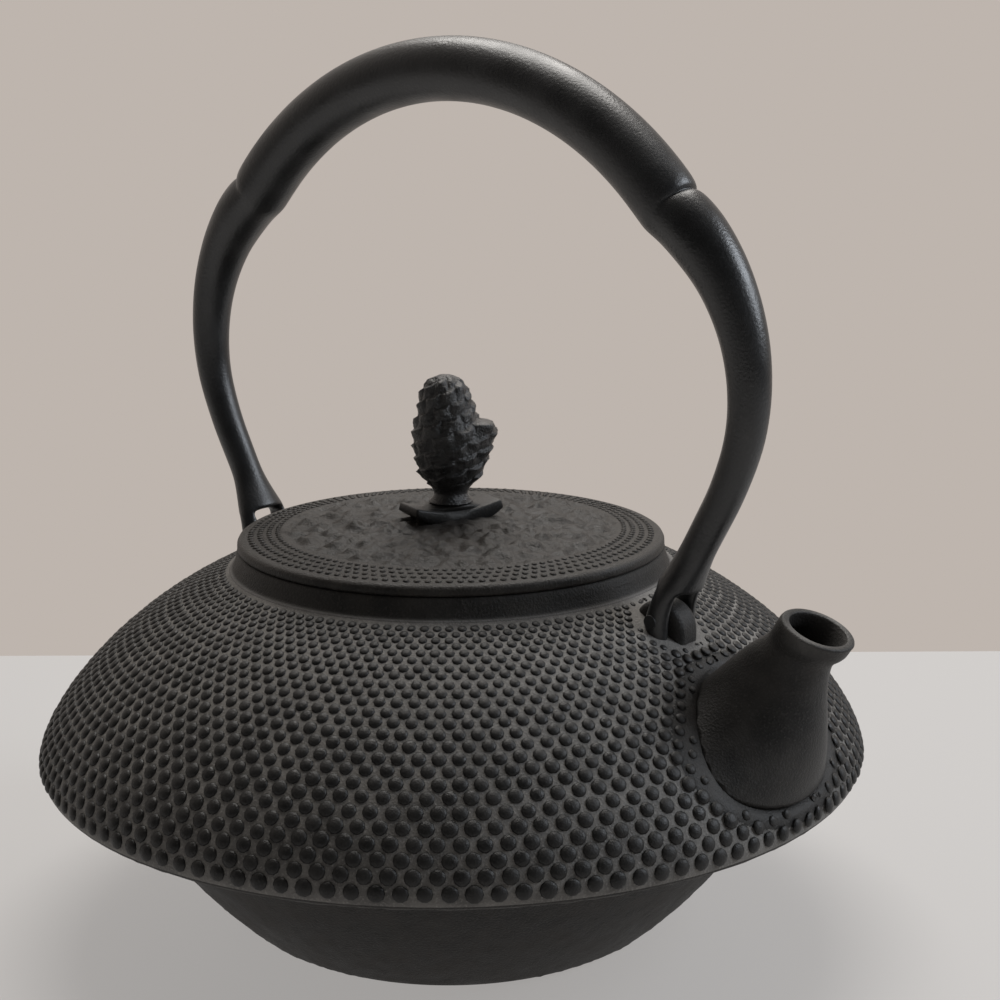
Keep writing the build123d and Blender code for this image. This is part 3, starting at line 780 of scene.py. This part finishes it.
turned(boss, [
    (0, SEAT_FOOT_Z), (BOSS_R + 3.6, SEAT_FOOT_Z), (BOSS_R + 3.4, SEAT_LOW_Z + 0.45),
    (BOSS_R + 1.5, SEAT_LOW_Z + 0.8), (BOSS_R + 0.3, BOSS_TOP_Z - 0.35), (BOSS_R - 0.3, BOSS_TOP_Z - 0.08),
    (BOSS_R - 0.7, BOSS_TOP_Z), (0, BOSS_TOP_Z),
], 48)
for vert in boss.verts:
    outer = max(0.0, hypot(vert.co.x, vert.co.y) - BOSS_R + 0.7)
    vert.co.y *= BOSS_SQUEEZE - 0.1 * outer
extra = bpy.data.meshes.new("boss")
boss.to_mesh(extra)
boss.free()
seat.from_mesh(extra)
bpy.data.meshes.remove(extra)
seat_turn = Matrix.Rotation(radians(SEAT_TURN), 3, "Z")
bmesh.ops.rotate(seat, cent=(0, 0, 0), matrix=seat_turn, verts=seat.verts)
seat_iron = iron_skin("seat_iron", (0.022, 0.0215, 0.021), (0.048, 0.046, 0.043), 0.45, 0.45, 0.16)
finish_piece(seat, "knob_saddle", seat_iron, "lid", ["knob_seat"])

# ---------------------------------------------------------------- pine-cone knob
# Cast in one piece with the stem that turns in the lid. Thick scales climb round it in spirals, each
# wider towards its lip; one big scale stands proud, and the tip leans away from it.
CONE_FOOT_Z = 102.5
TIP_LEAN = 1.2
PROUD_TURN = 40.0
PROUD_TOP_Z = 122.9
PROUD_REACH = 3.3
PROUD_HALF_ANGLE = 0.52
STEM_R = 2.5
SCALES_ROUND = 9
SPIRALS = 4                 # rows that each spiral climbs in one turn
SCALE_ROW = 3.3
SCALE_RELIEF = 1.3
SCALES_FROM_Z = 106.2
SCALE_SINK = 0.4
CARVING_ROUGH = 0.26
# height and radius of the cone under its scales
CORE = [(CONE_FOOT_Z, 5.2), (102.9, 5.5), (103.6, 4.8), (104.4, 4.3), (105.2, 4.2), (106.4, 4.8),
        (107.8, 6.1), (109.2, 7.2), (111.0, 8.0), (113.0, 8.5), (115.5, 8.8), (118.0, 8.9), (120.5, 8.7),
        (122.5, 7.9), (124.5, 7.1), (127.0, 6.6), (129.8, 5.8), (131.8, 4.7), (133.2, 3.1), (134.0, 1.4),
        (134.1, 0.0)]


def lean_at(height):
    """How far the cone's axis stands off the stem's at this height."""
    share = min(1.0, max(0.0, (height - 116) / 12))
    return Vector((-cos(radians(PROUD_TURN)), -sin(radians(PROUD_TURN)), 0)) * TIP_LEAN * share


def scale_relief(turn, height):
    """How far the scales stand out here: each widens upwards to a rounded lip, then falls back."""
    row = (height - 106.5) / SCALE_ROW - SPIRALS * turn / (2 * pi)
    column = turn * SCALES_ROUND / (2 * pi) + 0.5 * floor(row)
    across = 1 - abs(2 * (column - floor(column)) - 1) ** 2.2
    row += 0.22 * across
    column = turn * SCALES_ROUND / (2 * pi) + 0.5 * floor(row)
    across = 1 - abs(2 * (column - floor(column)) - 1) ** 2.6
    along = row - floor(row)
    return SCALE_RELIEF * across * (0.15 + 0.85 * along ** 1.4) * min(1.0, (1 - along) / 0.12)


cone = bmesh.new()
stem = [(0, 93.4), (3.2, 93.4), (3.8, 93.9), (3.8, 94.6), (3.2, 95.0), (STEM_R, 95.0)]
stem.append((STEM_R, CONE_FOOT_Z - 0.05))
turned(cone, stem + [(radius, height) for height, radius in between(CORE, 7)], 168)
for vert in cone.verts:
    turn, radius, height = atan2(vert.co.y, vert.co.x), hypot(vert.co.x, vert.co.y), vert.co.z
    out = Vector((cos(turn), sin(turn), 0))
    if height > SCALES_FROM_Z and radius > 0.4:
        fade = min(1.0, (height - SCALES_FROM_Z) / 2.5) * min(1.0, radius / 3.5)
        relief = scale_relief(turn, height) - SCALE_SINK
        relief += CARVING_ROUGH * noise.fractal(vert.co / 1.5, 0.8, 2.1, 3)
        vert.co += out * fade * relief
        # the proud scale: it swells upwards to a flat top
        aside = (turn - radians(PROUD_TURN)) / PROUD_HALF_ANGLE
        swell = min(1.0, max(0.0, (height - 111.5) / 10.0)) ** 1.3
        swell *= min(1.0, max(0.0, (PROUD_TOP_Z - height) / 0.5))
        vert.co += out * PROUD_REACH * exp(-(aside ** 4)) * swell
    vert.co += lean_at(height)
knob_iron = iron_skin("knob_iron", (0.007, 0.007, 0.0075), (0.024, 0.0235, 0.023), 0.30, 0.45, 0.35, 0.6)
finish_piece(cone, "pine_cone", knob_iron, "knob", ["knob"])

# ---------------------------------------------------------------- strainer
# A lift-out basket of perforated stainless sheet: the wall and floor are punched all over, and a
# plain flat rim hangs it on the ledge in the mouth.
BASKET_R = 43.3
GAUGE = 0.6
BASKET_FLOOR_Z = 42.0
WALL_TOP_Z = 87.4           # just under the rim's top
HOLES_ROUND = 108
HOLE_ROWS = 17
PLAIN_BAND = 2.2
HOLE_EDGE = 0.62            # metal left round each hole
FLOOR_CELLS = 32
FLOOR_MARGIN = 3.2          # left unpunched round the floor's edge


def steel(name, tone, rough):
    """Bright rolled stainless sheet, brushed by fine level lines."""
    material = bpy.data.materials.new(name)
    material.use_nodes = True
    tree = material.node_tree
    shader = tree.nodes["Principled BSDF"]
    place = tree.nodes.new("ShaderNodeTexCoord")
    stretch = tree.nodes.new("ShaderNodeMapping")
    stretch.inputs["Scale"].default_value = (120, 120, 4000)
    lines = tree.nodes.new("ShaderNodeTexNoise")
    lines.inputs["Scale"].default_value = 1
    lines.inputs["Detail"].default_value = 3
    ramp = tree.nodes.new("ShaderNodeMapRange")
    ramp.inputs["To Min"].default_value = rough - 0.08
    ramp.inputs["To Max"].default_value = rough + 0.12
    tint = tree.nodes.new("ShaderNodeMix")
    tint.data_type = "RGBA"
    tint.inputs[6].default_value = (*[tone * 0.88] * 3, 1)
    tint.inputs[7].default_value = (tone, tone, tone * 0.98, 1)
    tree.links.new(place.outputs["Object"], stretch.inputs["Vector"])
    tree.links.new(stretch.outputs["Vector"], lines.inputs["Vector"])
    tree.links.new(lines.outputs["Fac"], ramp.inputs["Value"])
    tree.links.new(lines.outputs["Fac"], tint.inputs["Factor"])
    tree.links.new(ramp.outputs["Result"], shader.inputs["Roughness"])
    tree.links.new(tint.outputs[2], shader.inputs["Base Color"])
    shader.inputs["Metallic"].default_value = 1
    return material


def punch(bm, faces):
    """Punches one hole through each of these cells of a sheet."""
    bmesh.ops.inset_individual(bm, faces=faces, thickness=HOLE_EDGE, use_even_offset=True)
    bmesh.ops.delete(bm, geom=faces, context="FACES_ONLY")


def sheet_metal(piece):
    """Rounds the holes of a punched sheet and gives it its gauge."""
    soften = piece.modifiers.new("soften", "SUBSURF")
    soften.levels = soften.render_levels = 1
    gauge = piece.modifiers.new("gauge", "SOLIDIFY")
    gauge.thickness = GAUGE * MM
    gauge.offset = -1


strainer_steel = steel("strainer_steel", 0.62, 0.27)
wall = bmesh.new()
heights = [BASKET_FLOOR_Z - GAUGE / 2, BASKET_FLOOR_Z + PLAIN_BAND]
span = (WALL_TOP_Z - PLAIN_BAND - heights[1]) / HOLE_ROWS
heights += [heights[1] + span * (step + 1) for step in range(HOLE_ROWS)] + [WALL_TOP_Z]
turned(wall, [(BASKET_R, height) for height in heights], HOLES_ROUND)
cells = [f for f in wall.faces if heights[1] < f.calc_center_median().z < heights[-2]]
punch(wall, cells)
wall_piece = finish_piece(wall, "strainer_sieve_wall", strainer_steel, "strainer",
                          ["strainer_wall"])
sheet_metal(wall_piece)

floor_bm = bmesh.new()
bmesh.ops.create_grid(floor_bm, x_segments=FLOOR_CELLS, y_segments=FLOOR_CELLS, size=BASKET_R,
                      matrix=Matrix.Translation((0, 0, BASKET_FLOOR_Z)))
beyond = [v for v in floor_bm.verts if hypot(v.co.x, v.co.y) > BASKET_R - FLOOR_MARGIN]
bmesh.ops.delete(floor_bm, geom=beyond, context="VERTS")
loose = [v for v in floor_bm.verts if not v.link_faces]
bmesh.ops.delete(floor_bm, geom=loose, context="VERTS")
cells = floor_bm.faces[:]
jagged = [e for e in floor_bm.edges if e.is_boundary]
edge_ring = bmesh.ops.create_circle(floor_bm, cap_ends=False, radius=BASKET_R - 0.5, segments=96,
                                    matrix=Matrix.Translation((0, 0, BASKET_FLOOR_Z)))["verts"]
ring_edges = list({e for v in edge_ring for e in v.link_edges})
bmesh.ops.bridge_loops(floor_bm, edges=jagged + ring_edges)
punch(floor_bm, cells)
floor_piece = finish_piece(floor_bm, "strainer_sieve_floor", strainer_steel, "strainer",
                           ["strainer_floor"])
sheet_metal(floor_piece)
nodes["strainer_rim"].material_slots[0].material = strainer_steel

# ---------------------------------------------------------------- table, light and camera
# The kettle stands on a white table under a broad, soft light from above and behind, with a cooler
# window to one side, and is seen from a little above and in front of the spout's side.
TABLE_BACK = 0.205
TABLE_SIZE = 1.6
TABLE_TURN = 38.3726        # degrees from the pot's own axes, as are the next two
WALL_TURN = 41.5726
CAMERA_TURN = 38.4274


def plain(name, colour, rough):
    """Even painted surface with a trace of unevenness."""
    material = bpy.data.materials.new(name)
    material.use_nodes = True
    tree = material.node_tree
    shader = tree.nodes["Principled BSDF"]
    blotch = tree.nodes.new("ShaderNodeTexNoise")
    blotch.inputs["Scale"].default_value = 3
    tint = tree.nodes.new("ShaderNodeMix")
    tint.data_type = "RGBA"
    tint.inputs[6].default_value = (*[tone * 0.985 for tone in colour], 1)
    tint.inputs[7].default_value = (*colour, 1)
    tree.links.new(blotch.outputs["Fac"], tint.inputs["Factor"])
    tree.links.new(tint.outputs[2], shader.inputs["Base Color"])
    shader.inputs["Roughness"].default_value = rough
    return material


table_bm = bmesh.new()
bmesh.ops.create_grid(table_bm, x_segments=1, y_segments=1, size=TABLE_SIZE / 2)
bmesh.ops.translate(table_bm, vec=(0, TABLE_BACK - TABLE_SIZE / 2, 0), verts=table_bm.verts)
table_turn = Matrix.Rotation(radians(TABLE_TURN), 3, "Z")
bmesh.ops.rotate(table_bm, cent=(0, 0, 0), matrix=table_turn, verts=table_bm.verts)
table_mesh = bpy.data.meshes.new("table_top")
table_bm.to_mesh(table_mesh)
table_bm.free()
table_paint_and_glow = plain("table_paint_and_glow", (0.18, 0.178, 0.176), 0.7)
# The table top glows faintly on its own, though it is no lamp: painted light that evens out its brightness
# and lights the kettle's underside.
glow = table_paint_and_glow.node_tree.nodes["Principled BSDF"].inputs
glow["Emission Color"].default_value = (1.0, 0.965, 0.94, 1)
glow["Emission Strength"].default_value = 0.35
table_mesh.materials.append(table_paint_and_glow)
table = bpy.data.objects.new("table_top", table_mesh)
bpy.context.scene.collection.objects.link(table)

world = bpy.data.worlds.new("room")
world.use_nodes = True
tree = world.node_tree
heading = tree.nodes.new("ShaderNodeTexCoord")
facing = tree.nodes.new("ShaderNodeVectorMath")
facing.operation = "DOT_PRODUCT"
facing.inputs[1].default_value = (-sin(radians(WALL_TURN)), cos(radians(WALL_TURN)), 0)
fade = tree.nodes.new("ShaderNodeMapRange")
fade.inputs["From Min"].default_value = -0.4
fade.inputs["From Max"].default_value = 0.75
walls = tree.nodes.new("ShaderNodeMix")
walls.data_type = "RGBA"
walls.inputs[6].default_value = (0.055, 0.054, 0.053, 1)
walls.inputs[7].default_value = (0.515, 0.462, 0.422, 1)
tree.links.new(heading.outputs["Generated"], facing.inputs[0])
tree.links.new(facing.outputs["Value"], fade.inputs["Value"])
tree.links.new(fade.outputs["Result"], walls.inputs["Factor"])
tree.links.new(walls.outputs[2], tree.nodes["Background"].inputs["Color"])
bpy.context.scene.world = world
bpy.context.scene.view_settings.view_transform = "Standard"


def soft_light(name, place, size, power, tint):
    """Square area light that faces the middle of the pot."""
    data = bpy.data.lights.new(name, "AREA")
    data.size = size
    data.energy = power
    data.color = tint
    lamp = bpy.data.objects.new(name, data)
    lamp.location = place
    lamp.rotation_euler = (Vector((0, 0, 0.08)) - Vector(place)).to_track_quat("-Z", "Y").to_euler()
    bpy.context.scene.collection.objects.link(lamp)


soft_light("ceiling_light", (-0.35, 0.45, 1.25), 0.9, 17, (1.0, 0.97, 0.93))
soft_light("window", (0.75, 0.55, 0.62), 0.45, 6.0, (0.86, 0.92, 1.0))

LENS = 65.78
CAMERA_PLACE = (0.28256, -0.33674, 0.19932)
DOWN = 12.384
ROLL = 0.288
camera_data = bpy.data.cameras.new("camera")
camera_data.sensor_width = 36
camera_data.lens = LENS
camera = bpy.data.objects.new("camera", camera_data)
aim = Matrix.Rotation(radians(CAMERA_TURN), 4, "Z") @ Matrix.Rotation(radians(90 - DOWN), 4, "X")
camera.matrix_world = Matrix.Translation(CAMERA_PLACE) @ aim @ Matrix.Rotation(radians(-ROLL), 4, "Z")
bpy.context.scene.collection.objects.link(camera)
bpy.context.scene.camera = camera
